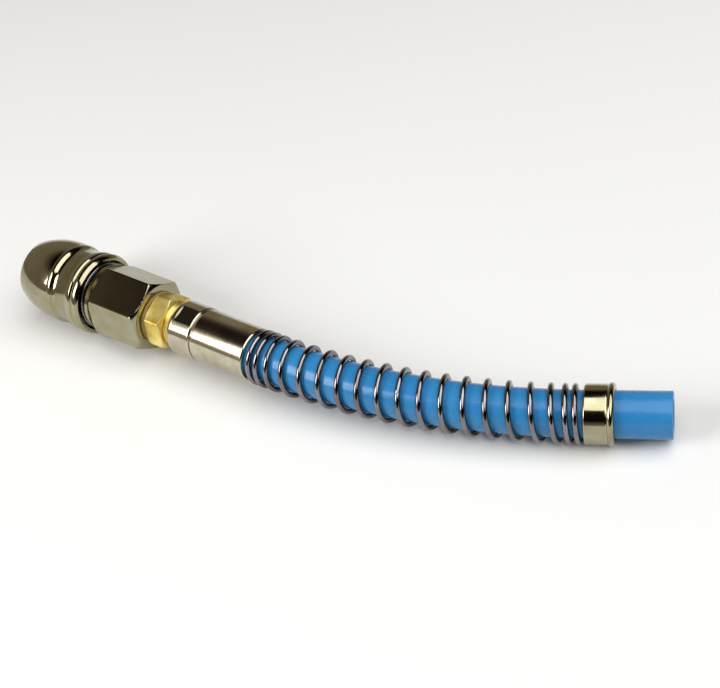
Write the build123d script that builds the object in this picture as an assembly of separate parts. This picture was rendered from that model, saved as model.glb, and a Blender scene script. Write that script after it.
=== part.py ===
from build123d import *
import math
import os

os.makedirs("parts", exist_ok=True)

# Push-to-connect air coupler for an 8 x 12 mm hose, with a bent spring guard.
# Frame: +X runs along the coupler from the plug mouth to the hose, +Z is up, and the
# origin is on the axis where the plug bore's wall starts, just behind the chamfered
# mouth. The guard bends towards +Y in the XY plane.
# Every size is in millimetres.

# Clearances and edges
RUN = 0.04  # radial clearance of a sliding or turning fit
SEAT = 0.05  # gap between faces that only rest on each other
TOUCH = 0.01  # gap between a seal and the face it is pressed on
FREE = 0.3  # gap that stays open
EDGE = 0.3  # small broken edge
THREAD_EDGE = 0.5  # chamfer at the end of a thread

# Plug bore and nose body
PLUG_R = 6.05  # bore that the plug's shank slides in
PLUG_GUIDE = 7.4  # length of bore wall ahead of the balls
PLUG_DEPTH = 23.6  # from the start of the bore wall to the valve seat
MOUTH_CHAMFER = 0.5
NOSE_WALL = 1.45  # from the bore to the outside, where the sleeve runs
NOSE_STEP_X = 18.2  # where the nose body thickens behind the sleeve's land
NOSE_STEP = 1.1
FLANGE_STEP = 1.35  # stop for the return spring
FLANGE_THICK = 1.2
NOSE_THREAD_LENGTH = 9.0
THREAD_WALL = 1.4  # wall left round the valve chamber inside the thread

# Snap ring that keeps the sleeve on
SNAP_X = 2.1
SNAP_THICK = 1.0
SNAP_STAND = 0.8  # how far it stands out of the nose body
SNAP_GROOVE_DEPTH = 0.65
SNAP_GAP_WIDTH = 3.0

# Lock balls
BALL_COUNT = 6
BALL_R = 1.5
BALL_RISE = 0.75  # a locked ball's centre outside the bore wall
BALL_TRAVEL = 0.9
BALL_HOLE_CLEARANCE = 0.03
BALL_RELIEF = 0.25  # depth of the shallow relief round the balls
BALL_RELIEF_LENGTH = 4.4
BALL_LIP_R = 1.42  # hole radius at the relief, smaller than the ball
BALL_LIP_HEIGHT = 0.3

# Release sleeve
SLEEVE_FRONT_X = 0.5
SLEEVE_TRAVEL = 2.4
SLEEVE_REAR_GAP = 2.6  # open gap behind the sleeve, which it moves into
SLEEVE_CHAMBER_GAP = 0.25  # round the return spring's stop flange
SLEEVE_WALL = 1.55
SLEEVE_MOUTH_GAP = 0.2  # round the snap ring
SLEEVE_LIP_WIDTH = 0.8  # flat end face at the mouth
SLEEVE_DOME_X = 5.1  # a point that the domed nose passes through
SLEEVE_DOME_DROP = 0.78
SLEEVE_RIDGE_X = 14.6
RIDGE_WIDTH = 0.8
RIDGE_DROP = 0.15
SHOULDER_X = 14.9  # inside face that the return spring pushes
GRIP_GROOVE_WIDTH = 6.0
GRIP_GROOVE_DEPTH = 0.8
GRIP_EDGE = 0.4
RIM_WIDTH = 3.0
RIM_STAND = 0.2
RIM_LINE_DEPTH = 0.35
RIM_REAR_DROP = 0.6

# Return spring and slip washer
SLIP_WASHER_THICK = 0.6
SLIP_WASHER_GAP = 0.15
RETURN_WIRE_R = 0.45
RETURN_TURNS = 6

# Hex body
HEX_FRONT_X = 29.0
HEX_LENGTH = 18.5
HEX_WALL = 1.45  # thinnest wall, under a flat, round the nose body's thread
HEX_ROLL = 27.0  # angle of one corner from +Y towards +Z
HEX_DROP = 1.2  # length that the rounded chamfer takes off each corner
HEX_FACE_INSET = 0.15  # from the flats to the turned end face

# Seals of the plug and of the body thread
PACKING_X = 19.0
PACKING_WIDTH = 3.0
PACKING_GROOVE_DEPTH = 1.55
PACKING_GRIP = 0.1  # how far the lip stands into the bore
O_RING_OFFSET = 1.2  # behind the hex body's front face
O_RING_R = 0.4
O_RING_GROOVE_WIDTH = 1.2
O_RING_GROOVE_DEPTH = 0.8

# Valve
SEAT_WIDTH = 1.55  # from the plug bore in to the seat's bore
SEAT_THICK = 1.6
POPPET_LAP = 1.25  # from the seat's bore out to the head's edge
POPPET_HEAD_THICK = 1.6
POPPET_NOSE_GAP = 0.9  # round the nose in the seat's bore
POPPET_NOSE_WALL = 1.1
POPPET_NOSE_LENGTH = 5.4  # ahead of the seal
POPPET_FLOOR = 0.6  # depth of the nose's bore into the seal's zone
POPPET_SLOT_WIDTH = 2.2
POPPET_SLOT_FRONT = 1.0  # solid rim ahead of the slots
POPPET_SLOT_REAR = 0.2
POPPET_TRAVEL = 4.0
POPPET_STEM_R = 2.0
POPPET_STEM_PAST = 0.6  # how far the stem stands out of its guide
VALVE_SEAL_THICK = 1.4
VALVE_SEAL_INSET = 0.15
VALVE_FLOW_GAP = 0.85  # round the head in the valve chamber
VALVE_WIRE_R = 0.4
VALVE_TURNS = 4
VALVE_SPRING_OFFSET = 1.9  # from the stem's surface to the spring wire's centre
VALVE_PLATE_THICK = 1.4
VALVE_PLATE_HOLE_R = 1.45
VALVE_PLATE_HOLES = 5
VALVE_GUIDE_LENGTH = 2.0
VALVE_GUIDE_WALL = 0.9

# Brass hose stem and its washer
STEM_THREAD_R = 6.2
STEM_THREAD_LENGTH = 7.3
WASHER_THICK = 1.0
WASHER_WIDTH = 1.15
STEM_HEX_STAND = 0.8  # from the rear thread out to a flat
STEM_HEX_LENGTH = 6.0
STEM_HEX_ROLL = 27.0
STEM_HEX_DROP = 0.75
STEM_BORE_R = 3.0
STEM_REAR_STAND = 0.2  # rear thread outside the hose, so that the nut passes over it
STEM_REAR_THREAD_LENGTH = 8.5
STEM_THREAD_SHOWN = 2.5  # thread seen between the stem's hex and the nut
BARB_LENGTH = 15.0
BARB_COUNT = 5
BARB_DEPTH = 0.45
BARB_REACH = 0.3  # share of a barb's pitch on its steep side

# Hose
HOSE_R = 6.0
HOSE_BORE_R = 4.0
HOSE_TAIL = 14.0  # hose left beyond the guard's end ring

# Hose nut
NUT_LENGTH = 27.0
NUT_HOSE_GAP = 0.1
NUT_WALL = 1.15  # round the rear thread
NUT_BAND_LENGTH = 8.2
NUT_BAND_STAND = 0.25
NUT_NOSE_DROP = 1.1  # rounded front edge, radially
NUT_NOSE_LENGTH = 1.2
NUT_LINE_WIDTH = 0.5
NUT_LINE_DEPTH = 0.3
NUT_FLAT_DEPTH = 0.45
NUT_FLAT_MARGIN = 1.6  # band left ahead of each flat
NUT_FLATS_ROLL = 14.0  # turn about X that takes straight up to one flat

# Spring guard
GUARD_LENGTH = 92.0  # along its bent centre line
GUARD_BEND = 26.0  # degrees
GUARD_WIRE_R = 0.75
GUARD_HOSE_GAP = 0.15
GUARD_END_PITCH = 1.9
GUARD_OPEN_PITCH = 5.6
GUARD_RAMP = 14.0  # length over which the pitch opens out
GUARD_POINTS_PER_TURN = 12

# End ring of the guard
END_RING_LENGTH = 7.5
END_RING_WALL = 1.4
END_RING_LIP_STAND = 0.4
END_RING_LIP_LENGTH = 1.6
END_RING_LIP_WALL = 0.7

# Derived radii, from the plug bore outwards
nose_r = PLUG_R + NOSE_WALL
nose_rear_r = nose_r + NOSE_STEP
flange_r = nose_rear_r + FLANGE_STEP
snap_outer_r = nose_r + SNAP_STAND
snap_groove_r = nose_r - SNAP_GROOVE_DEPTH
ball_locked_r = PLUG_R + BALL_RISE
sleeve_chamber_r = flange_r + SLEEVE_CHAMBER_GAP
sleeve_r = sleeve_chamber_r + SLEEVE_WALL
sleeve_mouth_r = snap_outer_r + SLEEVE_MOUTH_GAP
packing_groove_r = PLUG_R + PACKING_GROOVE_DEPTH
seat_bore_r = PLUG_R - SEAT_WIDTH
poppet_head_r = seat_bore_r + POPPET_LAP
poppet_nose_r = seat_bore_r - POPPET_NOSE_GAP
chamber_r = poppet_head_r + VALVE_FLOW_GAP
nose_thread_r = chamber_r + THREAD_WALL
hex_af = 2 * (nose_thread_r + SEAT + HEX_WALL)
washer_r = STEM_THREAD_R + SEAT + WASHER_WIDTH
rear_thread_r = HOSE_R + STEM_REAR_STAND
stem_hex_af = 2 * (rear_thread_r + STEM_HEX_STAND)
nut_tube_r = rear_thread_r + SEAT + NUT_WALL
nut_band_r = nut_tube_r + NUT_BAND_STAND
guard_bore_r = HOSE_R + GUARD_HOSE_GAP
guard_mean_r = guard_bore_r + GUARD_WIRE_R
end_ring_r = guard_bore_r + END_RING_WALL

# Derived places along the axis
ball_x = PLUG_GUIDE + BALL_RELIEF_LENGTH / 2
ball_ratio = BALL_TRAVEL / SLEEVE_TRAVEL
sleeve_rear = HEX_FRONT_X - SLEEVE_REAR_GAP
grip_groove_x = SLEEVE_RIDGE_X + RIDGE_WIDTH
seat_rear = PLUG_DEPTH + SEAT_THICK
flange_front = HEX_FRONT_X - FLANGE_THICK
nose_rear = HEX_FRONT_X + NOSE_THREAD_LENGTH
o_ring_x = HEX_FRONT_X + O_RING_OFFSET
hex_rear = HEX_FRONT_X + HEX_LENGTH
poppet_seal_front = seat_rear + SEAT
poppet_head_front = poppet_seal_front + VALVE_SEAL_THICK
poppet_head_rear = poppet_head_front + POPPET_HEAD_THICK
plate_front = nose_rear + SEAT
plate_rear = plate_front + VALVE_PLATE_THICK
hex_shoulder = plate_rear + SEAT
stem_front = hex_rear - STEM_THREAD_LENGTH
stem_hex_front = hex_rear + WASHER_THICK
stem_hex_rear = stem_hex_front + STEM_HEX_LENGTH
stem_thread_rear = stem_hex_rear + STEM_REAR_THREAD_LENGTH
barb_rear = stem_thread_rear + BARB_LENGTH
nut_front = stem_hex_rear + STEM_THREAD_SHOWN
nut_rear = nut_front + NUT_LENGTH
hose_front = stem_thread_rear + SEAT
bend = math.radians(GUARD_BEND)
bend_radius = GUARD_LENGTH / bend


def turned(*edges):
    """Solid of revolution about X from edges drawn as (x, radius)."""
    return revolve(make_face(Wire(list(edges))), axis=Axis.X)


def lines(points):
    """Straight edges from each (x, radius) point to the next."""
    return [Line(a, b) for a, b in zip(points, points[1:])]


def turned_outline(points):
    """Solid of revolution about X from a closed outline of (x, radius) points."""
    return revolve(make_face(Polyline(*points, close=True)), axis=Axis.X)


def ring(x0, x1, outer, inner=0.0):
    """Plain ring or disc about X from x0 to x1."""
    return turned_outline([(x0, inner), (x1, inner), (x1, outer), (x0, outer)])


def rounded_ring(x0, x1, outer, inner, radius):
    """Ring about X with every edge rounded."""
    face = make_face(Polyline((x0, inner), (x1, inner), (x1, outer), (x0, outer), close=True))
    return revolve(fillet(face.vertices(), radius), axis=Axis.X)


def hexagon(x0, x1, across_flats, roll):
    """Hex prism about X with one corner roll degrees from +Y towards +Z."""
    section = RegularPolygon(across_flats / 2, 6, major_radius=False, rotation=roll)
    return extrude(Plane.YZ.offset(x0) * section, x1 - x0)


def rounded_hexagon(x0, x1, across_flats, roll, drop):
    """Hex prism whose corners are turned off at both ends, each by part of a ball."""
    corner_r = across_flats / math.sqrt(3) + TOUCH
    face_r = across_flats / 2 - HEX_FACE_INSET
    # distance from an end face to the centre of the ball through (0, face_r) and (drop, corner_r)
    centre = (corner_r**2 - face_r**2 + drop**2) / (2 * drop)
    ball_r = math.hypot(centre, face_r)
    middle_r = (face_r + corner_r) / 2
    middle_x = centre - math.sqrt(ball_r**2 - middle_r**2)
    blank = turned(
        Line((x0, 0), (x0, face_r)),
        ThreePointArc((x0, face_r), (x0 + middle_x, middle_r), (x0 + drop, corner_r)),
        Line((x0 + drop, corner_r), (x1 - drop, corner_r)),
        ThreePointArc((x1 - drop, corner_r), (x1 - middle_x, middle_r), (x1, face_r)),
        Line((x1, face_r), (x1, 0)),
        Line((x1, 0), (x0, 0)),
    )
    return hexagon(x0, x1, across_flats, roll) & blank


def coil(x0, x1, mean_r, wire_r, turns):
    """Compression spring about X that fits between x0 and x1."""
    height = x1 - x0 - 2 * wire_r
    path = Helix(height / turns, height, mean_r)
    section = Plane(path @ 0, z_dir=path % 0) * Circle(wire_r)
    wire = sweep(section, path)
    return Pos(x0 + wire_r, 0, 0) * Rot(0, 90, 0) * wire


def save(shape, node):
    """Write one node's STEP file."""
    export_step(shape, f"parts/{node}.step")


def make_nose_body():
    """Tube that takes the plug, with ball holes, snap ring groove and valve seat."""
    relief_r = PLUG_R + BALL_RELIEF
    relief_end = PLUG_GUIDE + BALL_RELIEF_LENGTH
    groove_end = SNAP_X + SNAP_THICK + 2 * SEAT
    o_ring_front = o_ring_x - O_RING_GROOVE_WIDTH / 2
    o_ring_rear = o_ring_x + O_RING_GROOVE_WIDTH / 2
    outline = [
        (-MOUTH_CHAMFER, PLUG_R + MOUTH_CHAMFER),
        (-MOUTH_CHAMFER, nose_r - EDGE),
        (EDGE - MOUTH_CHAMFER, nose_r),
        (SNAP_X, nose_r),
        (SNAP_X, snap_groove_r),
        (groove_end, snap_groove_r),
        (groove_end, nose_r),
        (NOSE_STEP_X, nose_r),
        (NOSE_STEP_X + EDGE, nose_rear_r),
        (flange_front, nose_rear_r),
        (flange_front, flange_r),
        (HEX_FRONT_X, flange_r),
        (HEX_FRONT_X, nose_thread_r),
        (o_ring_front, nose_thread_r),
        (o_ring_front, nose_thread_r - O_RING_GROOVE_DEPTH),
        (o_ring_rear, nose_thread_r - O_RING_GROOVE_DEPTH),
        (o_ring_rear, nose_thread_r),
        (nose_rear - THREAD_EDGE, nose_thread_r),
        (nose_rear, nose_thread_r - THREAD_EDGE),
        (nose_rear, chamber_r),
        (seat_rear, chamber_r),
        (seat_rear, seat_bore_r),
        (PLUG_DEPTH, seat_bore_r),
        (PLUG_DEPTH, PLUG_R),
        (PACKING_X + PACKING_WIDTH, PLUG_R),
        (PACKING_X + PACKING_WIDTH, packing_groove_r),
        (PACKING_X, packing_groove_r),
        (PACKING_X, PLUG_R),
        (relief_end, PLUG_R),
        (relief_end, relief_r),
        (PLUG_GUIDE, relief_r),
        (PLUG_GUIDE, PLUG_R),
        (0, PLUG_R),
    ]
    return turned_outline(outline) - ball_holes()


def ball_holes():
    """Radial holes for the lock balls, each with a lip that stops its ball."""
    hole_r = BALL_R + BALL_HOLE_CLEARANCE
    lip_base = PLUG_R + BALL_RELIEF - 1
    lip_top = PLUG_R + BALL_RELIEF + BALL_LIP_HEIGHT
    base_r = BALL_LIP_R - (hole_r - BALL_LIP_R) / BALL_LIP_HEIGHT
    outline = [
        (0, 0, lip_base),
        (base_r, 0, lip_base),
        (hole_r, 0, lip_top),
        (hole_r, 0, nose_r + 1),
        (0, 0, nose_r + 1),
    ]
    hole = Pos(ball_x, 0, 0) * revolve(make_face(Polyline(*outline, close=True)), axis=Axis.Z)
    return [Rot(ball_angle(i), 0, 0) * hole for i in range(BALL_COUNT)]


def ball_angle(index):
    """Turn about X that takes straight up to a ball's direction."""
    return index * 360.0 / BALL_COUNT


def make_lock_ball(index):
    """One steel ball at its locked place."""
    return Rot(ball_angle(index), 0, 0) * Pos(ball_x, 0, ball_locked_r) * Sphere(BALL_R)


def make_snap_ring():
    """Split ring in the nose body's groove, which stops the sleeve going forward."""
    x0 = SNAP_X + SEAT
    blank = ring(x0, x0 + SNAP_THICK, snap_outer_r, snap_groove_r + SEAT)
    gap = Pos(x0 + SNAP_THICK / 2, 0, -snap_outer_r) * Box(2 * SNAP_THICK, SNAP_GAP_WIDTH, snap_groove_r)
    return blank - gap


def sleeve_outside():
    """Edges of the sleeve's outside: domed nose, ridge, grip groove, barrel and rim."""
    rim_x = sleeve_rear - RIM_WIDTH
    groove_end = grip_groove_x + GRIP_GROOVE_WIDTH
    groove_edge_r = sleeve_r - RIDGE_DROP
    groove_middle = (grip_groove_x + GRIP_GROOVE_WIDTH / 2, sleeve_r - GRIP_GROOVE_DEPTH)
    nose_corner = (SLEEVE_FRONT_X, sleeve_mouth_r + SLEEVE_LIP_WIDTH)
    dome_middle = (SLEEVE_DOME_X, sleeve_r - SLEEVE_DOME_DROP)
    rim_front = (rim_x, sleeve_r - RIM_LINE_DEPTH)
    rim_middle = (rim_x + RIM_WIDTH / 2, sleeve_r + RIM_STAND)
    rim_rear = (sleeve_rear, sleeve_r - RIM_REAR_DROP)
    ridge = [(SLEEVE_RIDGE_X, sleeve_r), (grip_groove_x, groove_edge_r)]
    barrel = [
        (groove_end, groove_edge_r),
        (groove_end + GRIP_EDGE, sleeve_r),
        (rim_x - RIM_LINE_DEPTH, sleeve_r),
        rim_front,
    ]
    return [
        ThreePointArc(nose_corner, dome_middle, ridge[0]),
        *lines(ridge),
        ThreePointArc(ridge[1], groove_middle, barrel[0]),
        *lines(barrel),
        ThreePointArc(rim_front, rim_middle, rim_rear),
    ]


def make_release_sleeve():
    """Outer sleeve, whose inside cone lets the balls out as it is drawn back."""
    land_r = nose_r + RUN
    cone_at_ball = ball_locked_r + BALL_R * math.hypot(1, ball_ratio) + BALL_HOLE_CLEARANCE
    cone_front_x = ball_x - SLEEVE_TRAVEL - BALL_R - FREE
    cone_front_r = cone_at_ball + ball_ratio * (ball_x - cone_front_x)
    cone_rear_x = ball_x + (cone_at_ball - land_r) / ball_ratio
    stop_x = SNAP_X + SNAP_THICK + 2 * SEAT
    inside = [
        (sleeve_rear, sleeve_r - RIM_REAR_DROP),
        (sleeve_rear, sleeve_chamber_r + EDGE),
        (sleeve_rear - EDGE, sleeve_chamber_r),
        (SHOULDER_X, sleeve_chamber_r),
        (SHOULDER_X, land_r),
        (cone_rear_x, land_r),
        (cone_front_x, cone_front_r),
        (cone_front_x, land_r),
        (stop_x, land_r),
        (stop_x, sleeve_mouth_r),
        (SLEEVE_FRONT_X, sleeve_mouth_r),
        (SLEEVE_FRONT_X, sleeve_mouth_r + SLEEVE_LIP_WIDTH),
    ]
    return turned(*sleeve_outside(), *lines(inside))


def make_slip_washer():
    """Washer that lets the sleeve turn against its spring."""
    x0 = SHOULDER_X + SEAT
    return ring(x0, x0 + SLIP_WASHER_THICK, sleeve_chamber_r - SLIP_WASHER_GAP, nose_r + SLIP_WASHER_GAP)


def make_return_spring():
    """Spring between the slip washer and the nose body's flange."""
    front = SHOULDER_X + 2 * SEAT + SLIP_WASHER_THICK
    mean_r = (nose_rear_r + sleeve_chamber_r) / 2
    return coil(front, flange_front - SEAT, mean_r, RETURN_WIRE_R, RETURN_TURNS)


def make_hex_body():
    """Plated hex that joins the nose body to the hose stem."""
    blank = rounded_hexagon(HEX_FRONT_X + SEAT, hex_rear, hex_af, HEX_ROLL, HEX_DROP)
    front_bore = ring(HEX_FRONT_X - 1, hex_shoulder, nose_thread_r + SEAT)
    rear_bore = ring(hex_shoulder - 1, hex_rear + 1, STEM_THREAD_R + SEAT)
    return blank - front_bore - rear_bore


def make_packing():
    """Lip seal that closes on the plug."""
    x0 = PACKING_X + SEAT
    x1 = PACKING_X + PACKING_WIDTH - SEAT
    return rounded_ring(x0, x1, packing_groove_r - SEAT, PLUG_R - PACKING_GRIP, EDGE)


def make_body_o_ring():
    """Seal between the nose body and the hex body."""
    centre_r = nose_thread_r - O_RING_GROOVE_DEPTH + O_RING_R + TOUCH
    return revolve(Pos(o_ring_x, centre_r) * Circle(O_RING_R), axis=Axis.X)


def make_valve_poppet():
    """Valve with a slotted nose that the plug pushes, a head and a guide stem."""
    nose_x = poppet_seal_front - POPPET_NOSE_LENGTH
    nose_bore_r = poppet_nose_r - POPPET_NOSE_WALL
    stem_x = plate_rear + VALVE_GUIDE_LENGTH + POPPET_STEM_PAST
    floor_x = poppet_head_front - POPPET_FLOOR
    points = [
        (nose_x, nose_bore_r),
        (nose_x, poppet_nose_r - EDGE),
        (nose_x + EDGE, poppet_nose_r),
        (poppet_head_front, poppet_nose_r),
        (poppet_head_front, poppet_head_r),
        (poppet_head_rear, poppet_head_r),
        (poppet_head_rear, POPPET_STEM_R),
        (stem_x - EDGE, POPPET_STEM_R),
        (stem_x, POPPET_STEM_R - EDGE),
        (stem_x, 0),
        (floor_x, 0),
        (floor_x, nose_bore_r),
    ]
    slot_length = POPPET_NOSE_LENGTH - POPPET_SLOT_FRONT - POPPET_SLOT_REAR
    slot = Box(slot_length, POPPET_SLOT_WIDTH, 2 * poppet_nose_r + 1)
    slot = Pos(nose_x + POPPET_SLOT_FRONT + slot_length / 2, 0, 0) * slot
    return turned_outline(points) - slot - Rot(90, 0, 0) * slot


def make_valve_seal():
    """Rubber face seal on the front of the valve's head."""
    outer = poppet_head_r - VALVE_SEAL_INSET
    return rounded_ring(poppet_seal_front, poppet_head_front - TOUCH, outer, poppet_nose_r + 2 * TOUCH, EDGE / 2)


def make_valve_spring():
    """Spring that closes the valve."""
    mean_r = POPPET_STEM_R + VALVE_SPRING_OFFSET
    return coil(poppet_head_rear + SEAT, plate_front - SEAT, mean_r, VALVE_WIRE_R, VALVE_TURNS)


def make_valve_plate():
    """Drilled plate that carries the valve spring and guides the valve's stem."""
    guide_r = POPPET_STEM_R + VALVE_GUIDE_WALL
    plate_r = nose_thread_r - SEAT
    bore_r = POPPET_STEM_R + RUN
    plate = ring(plate_front, plate_rear, plate_r, bore_r)
    guide = ring(plate_rear - TOUCH, plate_rear + VALVE_GUIDE_LENGTH, guide_r, bore_r)
    hole = Rot(0, 90, 0) * Cylinder(VALVE_PLATE_HOLE_R, 4 * VALVE_PLATE_THICK)
    hole = Pos(plate_front, (guide_r + plate_r) / 2, 0) * hole
    holes = [Rot(i * 360.0 / VALVE_PLATE_HOLES, 0, 0) * hole for i in range(VALVE_PLATE_HOLES)]
    return plate + guide - holes


def make_thread_washer():
    """Sealing washer between the hex body and the stem's hex."""
    return rounded_ring(hex_rear + TOUCH, stem_hex_front - TOUCH, washer_r, STEM_THREAD_R + SEAT, EDGE / 2)


def make_hose_stem():
    """Brass stem: thread into the hex body, its own hex, nut thread and hose barb."""
    pitch = BARB_LENGTH / BARB_COUNT
    crest = HOSE_BORE_R - 2 * TOUCH
    core_r = (STEM_BORE_R + min(STEM_THREAD_R, rear_thread_r)) / 2
    outline = [
        (stem_front, STEM_BORE_R + EDGE),
        (stem_front, STEM_THREAD_R - THREAD_EDGE),
        (stem_front + THREAD_EDGE, STEM_THREAD_R),
        (stem_hex_front + EDGE, STEM_THREAD_R),
        (stem_hex_front + EDGE, core_r),
        (stem_hex_rear - EDGE, core_r),
        (stem_hex_rear - EDGE, rear_thread_r),
        (stem_thread_rear - THREAD_EDGE, rear_thread_r),
        (stem_thread_rear, rear_thread_r - THREAD_EDGE),
        (stem_thread_rear, crest - BARB_DEPTH),
    ]
    for index in range(BARB_COUNT):
        start = stem_thread_rear + index * pitch
        outline.append((start + BARB_REACH * pitch, crest))
        outline.append((start + pitch, crest - BARB_DEPTH))
    outline += [(barb_rear, STEM_BORE_R), (stem_front + EDGE, STEM_BORE_R)]
    flats = rounded_hexagon(stem_hex_front, stem_hex_rear, stem_hex_af, STEM_HEX_ROLL, STEM_HEX_DROP)
    bore = ring(stem_front - 1, barb_rear + 1, STEM_BORE_R)
    return turned_outline(outline) + (flats - bore)


def make_hose_nut():
    """Plated nut that screws onto the stem and grips the hose."""
    thread_bore_r = rear_thread_r + SEAT
    hose_bore_r = HOSE_R + NUT_HOSE_GAP
    thread_end = stem_thread_rear + 2 * SEAT
    line_x = nut_front + NUT_BAND_LENGTH
    line_end = line_x + NUT_LINE_WIDTH
    line_r = nut_tube_r - NUT_LINE_DEPTH
    nose_low = (nut_front, nut_band_r - NUT_NOSE_DROP)
    nose_middle = (nut_front + EDGE, nut_band_r - EDGE - TOUCH)
    nose_high = (nut_front + NUT_NOSE_LENGTH, nut_band_r)
    points = [
        nose_high,
        (line_x - EDGE, nut_band_r),
        (line_x, nut_band_r - EDGE),
        (line_x, line_r),
        (line_end, line_r),
        (line_end, nut_tube_r - EDGE / 3),
        (line_end + EDGE, nut_tube_r),
        (nut_rear - EDGE, nut_tube_r),
        (nut_rear, nut_tube_r - EDGE),
        (nut_rear, hose_bore_r),
        (thread_end, hose_bore_r),
        (thread_end, thread_bore_r),
        (nut_front, thread_bore_r),
        nose_low,
    ]
    blank = turned(ThreePointArc(nose_low, nose_middle, nose_high), *lines(points))
    flat_length = NUT_BAND_LENGTH - 1.5 * NUT_FLAT_MARGIN
    cutter = Box(flat_length, 2 * nut_band_r, nut_band_r)
    cutter_z = nut_band_r - NUT_FLAT_DEPTH + nut_band_r / 2
    cutter = Pos(nut_front + NUT_FLAT_MARGIN + flat_length / 2, 0, cutter_z) * cutter
    return blank - Rot(NUT_FLATS_ROLL, 0, 0) * cutter - Rot(NUT_FLATS_ROLL + 180, 0, 0) * cutter


def guard_frame(distance):
    """Point and heading, in the XY plane, at a distance along the guard."""
    heading = distance / bend_radius
    x = nut_rear + bend_radius * math.sin(heading)
    y = bend_radius * (1 - math.cos(heading))
    return x, y, heading


def guard_pitch(distance):
    """Coil pitch at a distance along the guard."""
    edge = min(distance, GUARD_LENGTH - distance)
    share = min(1.0, max(0.0, edge / GUARD_RAMP))
    smooth = share * share * (3 - 2 * share)
    return GUARD_END_PITCH + (GUARD_OPEN_PITCH - GUARD_END_PITCH) * smooth


def guard_path():
    """Centre line of the guard's wire, wound round its bent centre line."""
    distance = GUARD_WIRE_R + SEAT
    last = GUARD_LENGTH - GUARD_WIRE_R - SEAT
    angle = 0.0
    points = []
    while distance < last:
        x, y, heading = guard_frame(distance)
        out = guard_mean_r * math.cos(angle)
        up = guard_mean_r * math.sin(angle)
        points.append((x - out * math.sin(heading), y + out * math.cos(heading), up))
        distance += guard_pitch(distance) / GUARD_POINTS_PER_TURN
        angle += math.tau / GUARD_POINTS_PER_TURN
    return Spline(*points)


def make_guard_spring():
    """Open-wound wire guard round the hose."""
    path = guard_path()
    section = Plane(path @ 0, z_dir=path % 0) * Circle(GUARD_WIRE_R)
    return sweep(section, path, is_frenet=True)


def at_guard_end(shape):
    """Carry a shape made along X from the origin to the guard's far end."""
    x, y, heading = guard_frame(GUARD_LENGTH)
    return Pos(x, y, 0) * Rot(0, 0, math.degrees(heading)) * shape


def make_end_ring():
    """Plated ring on the guard's far end, with a rolled lip."""
    lip_x = END_RING_LENGTH - END_RING_LIP_LENGTH
    lip_start = (lip_x, end_ring_r)
    lip_top = (lip_x + END_RING_LIP_LENGTH / 2, end_ring_r + END_RING_LIP_STAND)
    lip_end = (END_RING_LENGTH, guard_bore_r + END_RING_LIP_WALL)
    front = [(0, guard_bore_r), (0, end_ring_r - EDGE), (EDGE, end_ring_r), lip_start]
    rear = [lip_end, (END_RING_LENGTH, guard_bore_r + EDGE), (END_RING_LENGTH - EDGE, guard_bore_r)]
    rear.append(front[0])
    return at_guard_end(turned(*lines(front), ThreePointArc(lip_start, lip_top, lip_end), *lines(rear)))


def make_hose():
    """End of the hose, from the stem through the guard to a short tail."""
    straight = ring(hose_front, nut_rear, HOSE_R, HOSE_BORE_R)
    section = Plane(origin=(nut_rear, 0, 0), z_dir=(1, 0, 0)) * (Circle(HOSE_R) - Circle(HOSE_BORE_R))
    centre = Axis((nut_rear, bend_radius, 0), (0, 0, 1))
    curved = revolve(section, axis=centre, revolution_arc=GUARD_BEND)
    tail = at_guard_end(ring(0, END_RING_LENGTH + HOSE_TAIL, HOSE_R, HOSE_BORE_R))
    return straight + curved + tail


save(make_nose_body(), "nose_body")
save(make_snap_ring(), "snap_ring")
for number in range(BALL_COUNT):
    save(make_lock_ball(number), f"lock_ball_{number + 1}")
save(make_release_sleeve(), "release_sleeve")
save(make_slip_washer(), "slip_washer")
save(make_return_spring(), "return_spring")
save(make_hex_body(), "hex_body")
save(make_packing(), "plug_packing")
save(make_body_o_ring(), "body_o_ring")
save(make_valve_poppet(), "valve_poppet")
save(make_valve_seal(), "valve_seal")
save(make_valve_spring(), "valve_spring")
save(make_valve_plate(), "valve_plate")
save(make_thread_washer(), "thread_washer")
save(make_hose_stem(), "hose_stem")
save(make_hose_nut(), "hose_nut")
save(make_guard_spring(), "guard_spring")
save(make_end_ring(), "guard_end_ring")
save(make_hose(), "hose")
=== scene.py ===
"""Finished look of a push-to-connect air coupler with a bent spring guard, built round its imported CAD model."""

import math

import bpy
from bpy.props import FloatProperty, FloatVectorProperty, PointerProperty
from mathutils import Matrix, Vector


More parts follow.
